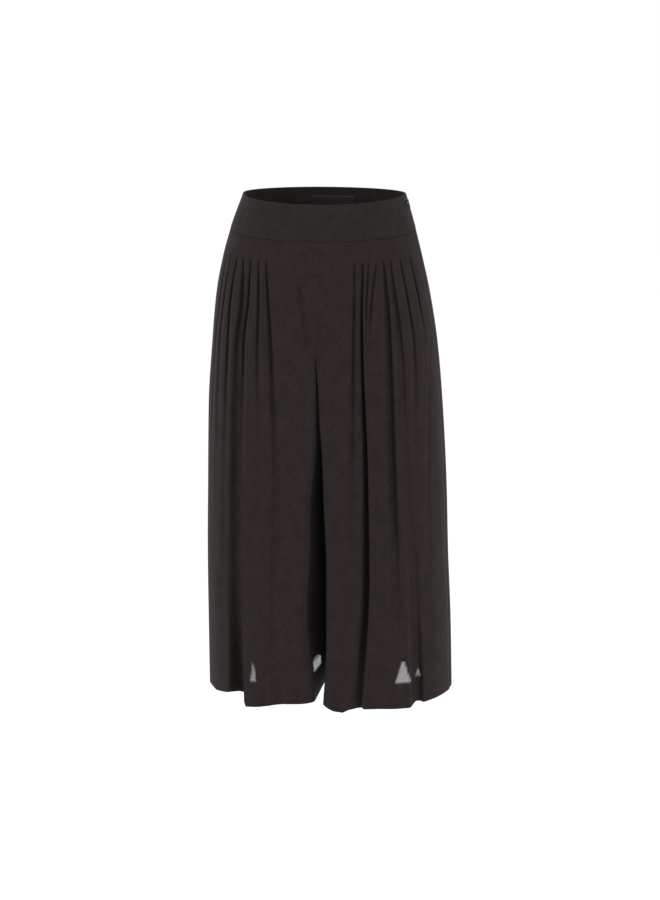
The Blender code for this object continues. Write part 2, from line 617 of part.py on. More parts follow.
def build_pull(slot):
    """The pull tab: a rolled barrel round the slider's pin, and a rounded leaf below it."""
    origin, across, out, up = seam_frame()
    count = 16
    vertices, faces = [], []
    for level in (-BARREL_HALF, BARREL_HALF):
        for radius in (BARREL_R, BARREL_HOLE):
            for a, b in circle(PIN_OUT, PIN_UP, radius, count):
                vertices.append(tuple(origin + across * level + out * a + up * b))
    for k in range(count):
        n = (k + 1) % count
        faces.append([k, n, 2 * count + n, 2 * count + k])
        faces.append([count + k, 3 * count + k, 3 * count + n, count + n])
        faces.append([k, count + k, count + n, n])
        faces.append([2 * count + k, 2 * count + n, 3 * count + n, 3 * count + k])
    barrel = add_object("zip_pull", vertices, faces, slot, False)
    top, foot = PIN_UP - 0.0009, PIN_UP - PULL_LONG
    outline = [(-0.0011, top), (-0.0011, top - 0.002)]
    for k in range(13):
        angle = math.pi + math.pi * k / 12
        outline.append((PULL_HALF * math.cos(angle), foot + PULL_HALF + PULL_HALF * math.sin(angle)))
    outline += [(0.0011, top - 0.002), (0.0011, top)]
    n = len(outline)
    leaf_vertices, leaf_faces = [], []
    for level in (-PULL_THICK / 2, PULL_THICK / 2):
        for a, b in outline:
            leaf_vertices.append(tuple(origin + across * a + out * (PIN_OUT + level) + up * b))
    for k in range(n):
        leaf_faces.append([k, (k + 1) % n, n + (k + 1) % n, n + k])
    leaf_faces.append(list(range(n - 1, -1, -1)))
    leaf_faces.append(list(range(n, 2 * n)))
    leaf = add_object("zip_pull_leaf", leaf_vertices, leaf_faces, slot, False)
    join = barrel.modifiers.new("join", "BOOLEAN")
    join.operation = "UNION"
    join.solver = "EXACT"
    join.object = leaf
    leaf.hide_render = True
    leaf.display_type = "WIRE"
    pin = Vector(origin + out * PIN_OUT + up * PIN_UP)
    for obj in (barrel, leaf):
        obj.data.transform(Matrix.Translation(-pin))
        obj.location = pin


def main():
    for obj in list(bpy.data.objects):
        bpy.data.objects.remove(obj)
    crepe = material("crepe", (0.013, 0.0093, 0.0091), 0.85)
    band = material("band_crepe", (0.013, 0.0103, 0.0097), 0.85)
    woven = material("label_satin", (0.008, 0.007, 0.007), 0.60)
    tape = material("zip_tape_nylon", (0.018, 0.017, 0.018), 0.72)
    enamel = material("zip_enamel", (0.020, 0.019, 0.020), 0.32, 0.6)
    build_band(band)
    panel("leg_front_right", -1, -1, RIGHT_FRONT_PLEATS, RIGHT_FRONT_HEM, crepe)
    panel("leg_front_left", 1, -1, LEFT_FRONT_PLEATS, LEFT_FRONT_HEM, crepe)
    panel("leg_back_right", -1, 1, BACK_PLEATS, RIGHT_BACK_HEM, crepe)
    panel("leg_back_left", 1, 1, BACK_PLEATS, LEFT_BACK_HEM, crepe)
    build_label(woven)
    build_zip_tape(tape)
    build_slider(enamel)
    build_pull(enamel)


main()
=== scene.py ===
# %% [markdown]
# # Pleated culottes, dressed
# A pair of wide, cropped culottes in charcoal crepe, filled out as if worn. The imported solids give
# each panel's place and size. This script lays a fine cloth over each of them and adds the sewing,
# the zip's teeth and the light. Everything is in metres, with +Z up and the front towards -Y.

# %% Load the solids
import math

import bmesh
import bpy
import numpy as np
from mathutils import Matrix, Vector


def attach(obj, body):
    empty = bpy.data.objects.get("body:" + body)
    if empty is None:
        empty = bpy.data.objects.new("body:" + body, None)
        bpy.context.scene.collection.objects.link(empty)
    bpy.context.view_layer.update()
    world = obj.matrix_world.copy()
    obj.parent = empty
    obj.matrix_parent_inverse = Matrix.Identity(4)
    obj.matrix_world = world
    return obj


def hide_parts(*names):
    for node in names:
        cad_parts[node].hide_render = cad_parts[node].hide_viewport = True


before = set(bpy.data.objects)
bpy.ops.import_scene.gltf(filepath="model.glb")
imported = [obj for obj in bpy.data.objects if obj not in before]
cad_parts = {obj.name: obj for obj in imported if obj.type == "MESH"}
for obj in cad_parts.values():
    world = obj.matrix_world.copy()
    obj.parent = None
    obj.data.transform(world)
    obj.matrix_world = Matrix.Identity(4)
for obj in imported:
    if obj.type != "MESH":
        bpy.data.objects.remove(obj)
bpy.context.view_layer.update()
print("solids:", sorted(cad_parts))

# %% [markdown]
# ## The worn section
# A garment that someone wears is a tube, so its form is a stack of closed curves. Each row below is
# one height: how far the cloth stands from the middle on each side, in front and behind, and how
# square the curve is. A squareness of 2 is an ellipse. The numbers are those of the solids, so the
# cloth lands on them.

# %% Sections, and where the legs part
BAND_TOP, BAND_FOOT = 0.0270, -0.0270
HEM_Z, HEM_TURN = -0.7550, 0.0370
CROTCH_Z, FRONT_FORK_Z, BACK_FORK_Z = -0.300, -0.190, -0.150
SIDE_SEAM_Y = -0.012
TILT, TILT_END = 0.105, -0.200
SECTIONS = (  # height, half width right, half width left, depth in front, depth behind, squareness
    (0.0270, 0.1230, 0.1280, 0.0955, 0.0955, 2.00),
    (-0.0270, 0.1430, 0.1435, 0.1050, 0.1060, 2.00),
    (-0.0740, 0.1560, 0.1550, 0.1120, 0.1160, 2.05),
    (-0.1300, 0.1660, 0.1670, 0.1190, 0.1270, 2.10),
    (-0.2050, 0.1725, 0.1785, 0.1280, 0.1370, 2.12),
    (-0.3000, 0.1785, 0.1868, 0.1360, 0.1430, 2.15),
    (-0.4300, 0.1802, 0.1938, 0.1400, 0.1470, 2.18),
    (-0.5300, 0.1812, 0.1965, 0.1420, 0.1490, 2.20),
    (-0.6440, 0.1802, 0.2012, 0.1440, 0.1510, 2.20),
    (-0.7550, 0.1790, 0.2036, 0.1450, 0.1520, 2.20),
)
PARTING = (  # height, gap's middle and halves (right, left) in front, behind, corner radii (right, left)
    (-0.0270, 0.0000, 0.0000, 0.0000, 0.000, 0.0000, 0.0000, 0.002, 0.002),
    (-0.1300, 0.0010, 0.0005, 0.0005, 0.000, 0.0005, 0.0005, 0.002, 0.002),
    (-0.1900, 0.0060, 0.0010, 0.0010, 0.000, 0.0010, 0.0010, 0.003, 0.005),
    (-0.3050, 0.0092, 0.0027, 0.0028, 0.000, 0.0030, 0.0030, 0.006, 0.012),
    (-0.3670, 0.0105, 0.0066, 0.0071, 0.000, 0.0040, 0.0040, 0.008, 0.009),
    (-0.4300, 0.0102, 0.0125, 0.0098, 0.000, 0.0050, 0.0050, 0.008, 0.007),
    (-0.5200, 0.0118, 0.0162, 0.0127, 0.000, 0.0060, 0.0060, 0.008, 0.006),
    (-0.6100, 0.0112, 0.0205, 0.0135, 0.000, 0.0070, 0.0070, 0.009, 0.007),
    (-0.6600, 0.0110, 0.0170, 0.0138, 0.000, 0.0080, 0.0080, 0.010, 0.007),
    (-0.7550, 0.0126, 0.0070, 0.0066, 0.000, 0.0090, 0.0090, 0.018, 0.010),
)
INSEAM_X, INSEAM_SWING, INSEAM_OPENING, OPENING_RATE = 0.002, 0.006, 0.004, 0.030
SEAM_GAP = -0.00004  # two panels' edges lap by a hair, where the solids stay apart, so no light gets in
print(len(SECTIONS), "sections from the waist to the hem")

# %% [markdown]
# ## The pleats
# Each pleat is stitched down for three centimetres below the band and then let go, so it starts as
# a crisp tuck and opens into a soft fold. A table is the plainest way to hold what differs from
# fold to fold, in millimetres: its distance from the centre line at six heights, its depth there,
# its width on each side at the thigh and at the hem, and the half width of its floor.

# %% Pleat tables
LEVELS = (-0.060, -0.130, -0.200, -0.390, -0.560, -0.755)
RIGHT_FRONT_PLEATS = (
    (73, 68, 63, 55, 57, 57, 3.0, 6, 7, 5, 4, 3, 10, 7, 30, 10, 0),
    (85, 84, 84, 78, 76, 72, 3.0, 6, 5, 0.5, 0, 0, 7, 7, 8, 8, 0),
    (98, 101, 107, 108, 104, 98, 3.0, 6, 6, 1, 0, 0, 7, 8, 8, 8, 0),
    (111, 110, 115, 114, 114, 111, 3.0, 8, 9, 12, 15, 28, 5, 18, 5, 30, 3),
    (122, 132, 135, 139, 142, 138, 3.0, 6, 6, 1.5, 0.5, 0, 8, 8, 9, 9, 0),
    (134, 144, 150, 154, 157, 158, 3.0, 4, 4, 0.5, 0, 0, 8, 9, 10, 10, 0),
    (144, 152, 160, 166, 167, 167, 2.0, 2.5, 2, 0.5, 0, 0, 8, 8, 8, 8, 0),
)
LEFT_FRONT_PLEATS = (
    (62, 63, 63, 62, 60, 55, 3.0, 5, 6, 4, 1, 0, 8, 7, 9, 9, 0),
    (74, 74, 75.5, 83.5, 86, 76.5, 3.5, 9, 17, 24, 24, 11, 4.2, 4, 18, 6, 1.2),
    (82.5, 81, 82.5, 92, 94, 84, 3.0, 4, 0.5, 0, 0, 0, 6, 6, 8, 8, 0),
    (93, 88, 86, 103, 105, 97, 3.0, 5, 1, 0, 0, 0, 7, 7, 8, 8, 0),
    (103, 110, 114, 122, 127, 129, 3.0, 7, 8, 8, 2.5, 0, 11, 8, 12, 9, 6),
    (112.5, 122, 129.5, 139, 152, 158, 3.0, 6, 5, 2, 5, 13, 10, 10, 11, 20, 4),
    (126, 139.5, 149.5, 156, 163, 167, 3.0, 6, 5, 0.5, 0, 0, 8, 8, 9, 9, 0),
    (139, 154.5, 165, 167, 170, 174, 3.0, 5, 1, 0, 0, 0, 7, 7, 8, 8, 0),
    (147, 163, 171, 172, 176, 184, 0.0, 0, 0.5, 2.5, 0.5, 0, 8, 8, 10, 10, 0),
)
BACK_PLEATS = (
    (60, 62, 60, 56, 56, 54, 3.0, 6, 8, 9, 8, 8, 9, 9, 12, 12, 0),
    (73, 76, 78, 78, 77, 76, 3.0, 5, 4, 1, 0, 0, 8, 8, 8, 8, 0),
    (86, 90, 94, 98, 101, 104, 3.0, 7, 12, 18, 22, 24, 8, 12, 9, 20, 1.5),
    (99, 104, 110, 116, 120, 124, 3.0, 5, 5, 2, 0, 0, 8, 8, 9, 9, 0),
    (112, 119, 126, 136, 142, 146, 3.0, 7, 11, 15, 17, 18, 9, 11, 10, 16, 1.5),
    (125, 134, 141, 152, 158, 162, 3.0, 6, 6, 4, 2, 0, 9, 9, 9, 9, 0),
    (137, 147, 155, 166, 171, 174, 3.0, 5, 6, 6, 5, 4, 9, 9, 10, 10, 0),
)
RIGHT_FRONT_HEM = (
    (0, -8), (40, -5), (80, 3), (104, 6), (109, -8),
    (130, -12), (145, -9), (158, -7), (170, -10),
)
LEFT_FRONT_HEM = (
    (0, -8), (21, -5), (35, 3), (50, 6), (60, 1), (80, 0),
    (105, 1), (152, 4), (158, -3), (170, -2), (205, -7),
)
RIGHT_BACK_HEM = ((0, -8), (31, -14), (70, -4), (100, -6), (130, -16), (160, -9), (180, -9))
LEFT_BACK_HEM = ((0, -8), (50, -2), (80, -6), (107, -16), (140, -9), (180, -8))
PLEATS_FROM, PLEAT_TOP_WIDTH, EDGE_FLAT, EDGE_EASE = -0.056, 0.0055, 0.004, 0.014
REACH_SHARE, FLOOR_SHARE = 0.76, 0.60  # of the way to the next fold, and of a fold's own half width
TUCK_FLOOR = 0.15  # how much of its floor a fold has at the top
print("folds:", len(RIGHT_FRONT_PLEATS), len(LEFT_FRONT_PLEATS), "and", len(BACK_PLEATS), "twice behind")

# %% [markdown]
# ## Creases
# Pleats alone look machine-made. Real crepe also drags softly towards the crotch and swings a
# little between the folds. Each crease is one row in millimetres: where it starts and ends, as a
# distance from the centre line and a height, then its depth (a ridge is negative) and half width.
# Those in front follow the cloth as it is seen, and those behind are of the same kind.

# %% Crease tables
RIGHT_FRONT_CREASES = (
    (21, -88, 5, -200, 4.0, 4.5), (39, -103, 37, -171, 1.2, 4), (38, -277, 38, -555, 1.0, 11),
    (93, -466, 93, -591, 0.8, 4), (84, -457, 83, -574, 0.8, 4), (65, -525, 73, -746, 1.0, 7),
    (49, -649, 50, -750, 1.4, 8),
)
LEFT_FRONT_CREASES = (
    (17, -68, 21, -192, 1.6, 7), (10, -148, 14, -215, 2.6, 5), (50, -80, 53, -155, 1.0, 5),
    (47, -521, 49, -747, 2.0, 8), (36, -382, 38, -583, -1.2, 6), (100, -120, 97, -215, 1.2, 4),
    (129, -276, 141, -583, -1.5, 6),
)
BACK_CREASES = (
    (19, -70, 6, -165, 1.3, 6), (38, -110, 30, -260, 0.8, 6), (38, -290, 36, -570, 2.0, 10),
    (90, -430, 92, -600, 0.7, 4), (66, -520, 70, -746, 1.3, 7), (130, -300, 134, -470, 0.9, 5),
    (156, -340, 160, -520, 0.8, 5),
)
SWAYS = ((61.0, 9.0, 0.3), (97.0, -6.0, 1.9), (143.0, 11.0, 4.1))  # across, down, phase
SWAY = 0.0004
print("creases:", len(RIGHT_FRONT_CREASES) + len(LEFT_FRONT_CREASES) + 2 * len(BACK_CREASES))

# %% [markdown]
# ## Reading a table as a smooth curve
# Straight lines between the heights would show as kinks in the cloth, and a plain cubic would
# swing past the numbers. A cubic whose slope is the harmonic mean of its neighbours does neither.

# %% Table curves


def smooth(t):
    t = np.clip(t, 0.0, 1.0)
    return t * t * (3 - 2 * t)


def through(z, heights, values):
    x, y = np.asarray(heights, float)[::-1], np.asarray(values, float)[::-1]
    z = float(np.clip(z, x[0], x[-1]))
    step, rise = np.diff(x), np.diff(y)
    grade = rise / step
    slope = np.zeros(len(x))
    slope[0], slope[-1] = grade[0], grade[-1]
    same = grade[:-1] * grade[1:] > 0
    both = np.where(same, grade[:-1] + grade[1:], 1.0)
    slope[1:-1] = np.where(same, 2 * grade[:-1] * grade[1:] / both, 0.0)
    i = int(np.clip(np.searchsorted(x, z) - 1, 0, len(step) - 1))
    t = (z - x[i]) / step[i]
    ends = y[i] * (1 + 2 * t) * (1 - t) ** 2 + y[i + 1] * t * t * (3 - 2 * t)
    return float(ends + step[i] * (slope[i] * t * (1 - t) ** 2 + slope[i + 1] * t * t * (t - 1)))


def section(z):
    heights = [row[0] for row in SECTIONS]
    return [through(z, heights, [row[k] for row in SECTIONS]) for k in range(1, 6)]


def parting(z, side, face):
    heights = [row[0] for row in PARTING]
    first = 1 if face < 0 else 4
    columns = (first, first + 1, first + 2, 8 if side > 0 else 7)
    middle, right, left, corner = (through(z, heights, [row[k] for row in PARTING]) for k in columns)
    return side * middle, (left if side > 0 else right), corner


def height_at(z, y):
    return z + TILT * np.minimum(y, 0) * smooth((z - TILT_END) / (BAND_FOOT - TILT_END))


def lengths(points):
    return np.concatenate([[0], np.cumsum(np.hypot(*np.diff(points, axis=0).T))])


print("half width at the hip:", round(section(-0.2)[0], 4), "m")

# %% [markdown]
# ## One row of a leg panel
# A panel runs from the centre seam to the side seam. Below the fork the same row first crosses the
# leg's inner face, from the inseam to the front, and turns a rounded corner. Working in "out" and
# "forward", both positive away from the body's middle, lets one function serve all four panels.

# %% The unpleated row
ARC_POINTS, PAST_POINTS = 410, 60  # samples of the curve up to the side, and just past it


def ring(z, side, face, start=-12.0):
    right, left, front, back, n = section(z)
    half = left if side > 0 else right
    near, far = (front, back) if face < 0 else (back, front)
    angle = np.radians(np.linspace(start, 90.0, ARC_POINTS))
    out = half * np.sign(np.sin(angle)) * np.abs(np.sin(angle)) ** (2 / n)
    forward = near * np.clip(np.cos(angle), 0, 1) ** (2 / n)
    past = np.linspace(0.0005, 0.030, PAST_POINTS)
    out = np.concatenate([out, half * (1 - (past / far) ** n) ** (1 / n)])
    forward = np.concatenate([forward, -past])
    across = np.sign(out) * np.abs(out) ** (n - 1) / half**n
    ahead = np.sign(forward) * np.abs(forward) ** (n - 1) / np.where(forward > 0, near, far) ** n
    return out, forward, np.arctan2(across, ahead)


def base_row(z, side, face):
    out, forward, turn = ring(z, side, face)
    fork = FRONT_FORK_Z if face < 0 else BACK_FORK_Z
    middle, gap, corner = parting(z, side, face)
    depth = forward.max()
    t = (fork - z) / (fork - CROTCH_Z)
    seam_at = face * SIDE_SEAM_Y + SEAM_GAP / 2
    last = int(np.argmax(forward < seam_at))
    if t <= 0:
        x0 = middle + SEAM_GAP / 2
        first = int(np.argmax(out > x0))
        lead = np.array([[x0, np.interp(x0, out[:ARC_POINTS], forward[:ARC_POINTS])]])
        face_end = corner_end = 0.0
    else:
        seam_y = depth * math.sqrt(max(0.0, 1 - min(t, 1.0) ** 2)) + SEAM_GAP / 2
        radius = min(corner, 0.7 * (depth - seam_y))
        inseam = side * (INSEAM_X + INSEAM_SWING * smooth((CROTCH_Z - z) / (CROTCH_Z - HEM_Z)))

        def inner(y):
            share = smooth(y / depth)
            curve = fork - (fork - CROTCH_Z) * np.sqrt(np.clip(1 - (y / depth) ** 2, 0, 1))
            below = 1 - np.exp(-np.clip(curve - z, 0, 1) / OPENING_RATE)
            centre = inseam + (middle - inseam) * share
            return centre + SEAM_GAP / 2 + below * (INSEAM_OPENING + (gap - INSEAM_OPENING) * share)

        corner_x = float(inner(depth - radius)) + radius
        corner_y = float(np.interp(corner_x, out[:ARC_POINTS], forward[:ARC_POINTS]))
        rise = np.linspace(seam_y, corner_y - radius, 40)
        turned = np.radians(np.linspace(0, 90, 14))[1:]
        inside = np.stack([inner(rise), rise], 1)
        if radius < 0.001:
            inside[:, 0] += corner_x - radius - inside[-1, 0]
        arc = [corner_x - radius * np.cos(turned), corner_y - radius + radius * np.sin(turned)]
        lead = np.concatenate([inside, np.stack(arc, 1)])
        first = int(np.argmax(out > corner_x + 1e-5))
        face_end, corner_end = float(lengths(inside)[-1]), float(lengths(lead)[-1])
    share = (seam_at - forward[last - 1]) / (forward[last] - forward[last - 1])
    end = [[out[last - 1] + share * (out[last] - out[last - 1]), seam_at]]
    points = np.concatenate([lead, np.stack([out[first:last], forward[first:last]], 1), end])
    facing = np.concatenate([np.zeros(len(lead)), turn[first : last + 1]])
    return points, facing, face_end, corner_end, t


print("a row at the knee has", len(base_row(-0.5, 1, -1)[0]), "points before pleating")

# %% [markdown]
# ## Pushing the pleats in
# A fold is a smooth trough whose two sides may differ in width, so a knife-like step and a soft
# wave come from the same cosine. Raising the cosine to a power narrows the trough, which gives the
# crisp line at the top of a tuck. Columns sit on each fold's floor and shoulders and are then
# divided evenly, so the mesh is finest where the cloth bends most.

# %% The pleated row
FACE_COLUMNS, CORNER_COLUMNS, PLAIN_COLUMNS = 4, 3, 2
SIDE_COLUMNS, BACK_SIDE_COLUMNS = 2, 4
FINER = 5  # columns for each one of the solid's
TUCK_POWER = 3.0  # how crisp a tuck is
TUCK_CRISP_Z, TUCK_SOFT_Z = -0.090, -0.300  # down to where it is that crisp, and where it is soft
PLEAT_EASE = 0.010  # a fold's depth grows in over this height
LEAN_FROM, LEAN_OVER = 54, 30  # degrees: nearer the side than this, folds are pushed in sideways too
CORNER_EASE, SEAM_EASE = 0.008, 0.006  # how soon creases start from a leg's corner and a centre seam
SWAY_FROM, SWAY_OVER = -0.12, 0.5


def pleat_row(row, z, side):
    mm = [0.001 * v for v in row]
    place = through(z, LEVELS, mm[0:6])
    if z > LEVELS[0]:
        half = 1 if side > 0 else 0
        place *= section(z)[half] / section(LEVELS[0])[half]
    depth = through(z, LEVELS, mm[6:12]) * smooth((PLEATS_FROM - z) / PLEAT_EASE)
    at = (LEVELS[0], LEVELS[2], LEVELS[-1])
    inner = through(z, at, (PLEAT_TOP_WIDTH, mm[12], mm[14]))
    outer = through(z, at, (PLEAT_TOP_WIDTH, mm[13], mm[15]))
    opened = float(smooth((LEVELS[0] - z) / (LEVELS[0] - LEVELS[2])))
    return place, depth, inner, outer, mm[16] * (TUCK_FLOOR + (1 - TUCK_FLOOR) * opened)


def crease_push(out, z, creases):
    push = np.zeros_like(out)
    for x0, z0, x1, z1, depth, width in creases:
        t = (1000 * z - z0) / (z1 - z0)
        away = 1000 * out - (x0 + np.clip(t, 0, 1) * (x1 - x0))
        ends = smooth((t + 0.15) / 0.3) * (smooth((1.15 - t) / 0.3) if z1 > -740 else 1.0)
        push += 0.001 * depth * np.exp(-((away / width) ** 2)) * ends
    return push


def sway(along, z, seed):
    grow = smooth((SWAY_FROM - z) / SWAY_OVER)
    return SWAY * grow * sum(np.sin(k * along + m * z + p + seed) for k, m, p in SWAYS)


def cloth_row(z, side, face, pleats, creases):
    points, facing, face_end, corner_end, t = base_row(z, side, face)
    along = lengths(points)
    total = along[-1]
    lead = int(np.searchsorted(along, corner_end + 1e-9))
    rising = slice(lead, lead + int(np.argmax(points[lead:, 0])) + 1)
    found = []
    for row in pleats:
        place, *rest = pleat_row(row, z, side)
        found.append((float(np.interp(place, points[rising, 0], along[rising])), *rest))
    marks = [corner_end] + [f[0] for f in found] + [total]
    depths = [found[0][1]] + [f[1] for f in found] + [found[-1][1]]
    stops, folds = [], []
    for k, (place, depth, inner, outer, floor) in enumerate(found):
        before, after = (np.clip(depth / (depth + depths[n] + 1e-6), 0.25, 0.75) for n in (k, k + 2))
        near = min(inner, REACH_SHARE * before * (place - marks[k]))
        far = min(outer, REACH_SHARE * after * (marks[k + 2] - place))
        flat = min(floor, FLOOR_SHARE * near, FLOOR_SHARE * far)
        bottom = [place - flat, place + flat] if floor else [place]
        stops += [place - near, *bottom, place + far]
        folds.append((place, depth, inner, outer, min(floor, FLOOR_SHARE * inner, FLOOR_SHARE * outer)))
    plain, share = stops[0], float(smooth(t))
    face_mark = (1 - share) * 0.30 * plain + share * face_end
    corner_mark = (1 - share) * 0.60 * plain + share * corner_end
    stops = np.concatenate([
        np.linspace(0, face_mark, FACE_COLUMNS + 1)[:-1],
        np.linspace(face_mark, corner_mark, CORNER_COLUMNS + 1)[:-1],
        np.linspace(corner_mark, plain, PLAIN_COLUMNS + 1)[:-1],
        stops,
        np.linspace(stops[-1], total, (SIDE_COLUMNS if face < 0 else BACK_SIDE_COLUMNS) + 1)[1:],
    ])
    every = np.arange((len(stops) - 1) * FINER + 1) / FINER
    columns = np.interp(every, np.arange(len(stops)), stops)
    laid = np.stack([np.interp(columns, along, points[:, k]) for k in (0, 1)], 1)
    ease = smooth((total - columns - EDGE_FLAT) / EDGE_EASE)
    power = 1 + (TUCK_POWER - 1) * float(smooth((z - TUCK_SOFT_Z) / (TUCK_CRISP_Z - TUCK_SOFT_Z)))
    for place, depth, inner, outer, floor in folds:
        away = columns - place
        reach = np.where(away < 0, inner, outer)
        u = np.clip((np.abs(away) - floor) / np.maximum(reach - floor, 1e-4), 0, 1)
        trough = (0.5 * (1 + np.cos(math.pi * u))) ** power * ease
        lean = float(np.interp(place, along, facing))
        lean *= float(smooth((math.degrees(lean) - LEAN_FROM) / LEAN_OVER))
        laid -= (depth * trough)[:, None] * np.array([math.sin(lean), math.cos(lean)])
    past = columns - corner_end + CORNER_EASE / 2
    front = smooth(past / CORNER_EASE) if t > 0 else smooth(columns / SEAM_EASE)
    extra = crease_push(laid[:, 0], z, creases) + sway(columns - corner_end, z, 1.7 * side + face)
    laid[:, 1] -= extra * front * ease
    return laid, columns, corner_end


row, *_ = cloth_row(-0.5, 1, -1, LEFT_FRONT_PLEATS, LEFT_FRONT_CREASES)
print("a finished row at the knee:", len(row), "columns")

# %% [markdown]
# ## From rows to cloth
# bmesh.ops.create_grid gives a flat sheet. Moving each of its points to its place on the worn form
# is draping it. Its UV map holds real metres along the cloth, so the weave keeps its size, and a
# Solidify modifier gives the sheet its thickness, inwards.

# %% Drape a grid
body = "culottes"
LAYER = 0.00040  # one layer of crepe


def drape(name, grid, plan, towards, thick=LAYER, masks=None, loop=False):
    """A cloth grid: points[row][column], its flat plan, and the way that its first row looks."""
    rows, columns = grid.shape[:2]
    bm = bmesh.new()
    uv = bm.loops.layers.uv.new("cloth")
    bmesh.ops.create_grid(bm, x_segments=columns - 1, y_segments=rows - 1, size=0.5, calc_uvs=True)
    layers = {key: bm.verts.layers.float.new(key) for key in (masks or {})}
    place = {}
    for v in bm.verts:
        place[v] = (round((0.5 - v.co.y) * (rows - 1)), round((v.co.x + 0.5) * (columns - 1)))
    for v, (i, j) in place.items():
        v.co = grid[i, j]
        for key, layer in layers.items():
            v[layer] = float(masks[key][i, j])
    for f in bm.faces:
        f.smooth = True
        for corner in f.loops:
            corner[uv].uv = plan[place[corner.vert]]
    middle = columns // 2
    probe = next(f for f in bm.faces if {place[v] for v in f.verts} >= {(0, middle), (1, middle + 1)})
    probe.normal_update()
    if probe.normal.dot(Vector(towards)) < 0:
        bmesh.ops.reverse_faces(bm, faces=bm.faces)
    if loop:
        bmesh.ops.remove_doubles(bm, verts=bm.verts, dist=1e-6)
    mesh = bpy.data.meshes.new(name)
    bm.to_mesh(mesh)
    bm.free()
    obj = bpy.data.objects.new(name, mesh)
    bpy.context.scene.collection.objects.link(obj)
    if not loop:
        wall = obj.modifiers.new("cloth", "SOLIDIFY")
        wall.thickness, wall.offset = thick, -1.0
    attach(obj, body)
    return obj


print("one layer:", 1000 * LAYER, "mm")

# %% [markdown]
# ## Noise that keeps its size
# Every finish here is a few noises at real sizes, mixed. The cloth's UV map is in metres, so a
# scale of 1000 is one grain a millimetre, and a stretched Mapping turns grains into threads.

# %% Node helpers


def new_material(name, colour, roughness, metallic=0.0, sheen=0.0):
    made = bpy.data.materials.new(name)
    made.use_nodes = True
    shader = made.node_tree.nodes["Principled BSDF"]
    shader.inputs["Base Color"].default_value = (*colour, 1)
    shader.inputs["Roughness"].default_value = roughness
    shader.inputs["Metallic"].default_value = metallic
    shader.inputs["Sheen Weight"].default_value = sheen
    shader.inputs["Sheen Roughness"].default_value = 0.45
    shader.inputs["Sheen Tint"].default_value = (0.95, 0.86, 0.86, 1)
    return made, made.node_tree, shader


def source(tree, uv_name=None):
    if uv_name:
        node = tree.nodes.new("ShaderNodeUVMap")
        node.uv_map = uv_name
        return node.outputs["UV"]
    return tree.nodes.new("ShaderNodeTexCoord").outputs["Object"]


def noise(tree, vector, across, down, detail=2.0):
    mapping = tree.nodes.new("ShaderNodeMapping")
    mapping.inputs["Scale"].default_value = (across, down, across)
    tree.links.new(vector, mapping.inputs["Vector"])
    node = tree.nodes.new("ShaderNodeTexNoise")
    node.inputs["Scale"].default_value = 1.0
    node.inputs["Detail"].default_value = detail
    tree.links.new(mapping.outputs["Vector"], node.inputs["Vector"])
    return node.outputs["Fac"]


def spread(tree, value, low, high, start=0.3, stop=0.7):
    node = tree.nodes.new("ShaderNodeMapRange")
    for key, number in (("From Min", start), ("From Max", stop), ("To Min", low), ("To Max", high)):
        node.inputs[key].default_value = number
    tree.links.new(value, node.inputs["Value"])
    return node.outputs["Result"]


def maths(tree, operation, a, b):
    node = tree.nodes.new("ShaderNodeMath")
    node.operation = operation
    for socket, value in zip(node.inputs, (a, b)):
        if isinstance(value, (int, float)):
            socket.default_value = value
        else:
            tree.links.new(value, socket)
    return node.outputs["Value"]


def tinted(tree, shader, colour, factor, darker, lighter):
    mix = tree.nodes.new("ShaderNodeMix")
    mix.data_type = "RGBA"
    first, second = (s for s in mix.inputs if s.type == "RGBA")
    first.default_value = (*(darker * c for c in colour), 1)
    second.default_value = (*(lighter * c for c in colour), 1)
    tree.links.new(factor, mix.inputs[0])
    mixed = next(s for s in mix.outputs if s.type == "RGBA")
    tree.links.new(mixed, shader.inputs["Base Color"])


def bumped(tree, shader, height, strength, distance):
    node = tree.nodes.new("ShaderNodeBump")
    node.inputs["Strength"].default_value = strength
    node.inputs["Distance"].default_value = distance
    tree.links.new(height, node.inputs["Height"])
    tree.links.new(node.outputs["Normal"], shader.inputs["Normal"])


print("node helpers are ready")

# %% [markdown]
# ## Crepe
# Crepe is woven from hard-twisted yarn, which makes a pebbly, matt face with a faint bloom at
# grazing angles. Three noises build it: grain, threads that run lengthwise, and slow patches. Where
# one layer hangs free above the hem it is sheer, and an attribute on the mesh says where that is.

# %% The crepe material
CREPE, BAND_CREPE = (0.0130, 0.0093, 0.0091), (0.0130, 0.0103, 0.0097)
SHEER_ALPHA, SPECKLE = 0.50, 0.30  # what a sheer face lets past, and how uneven that is


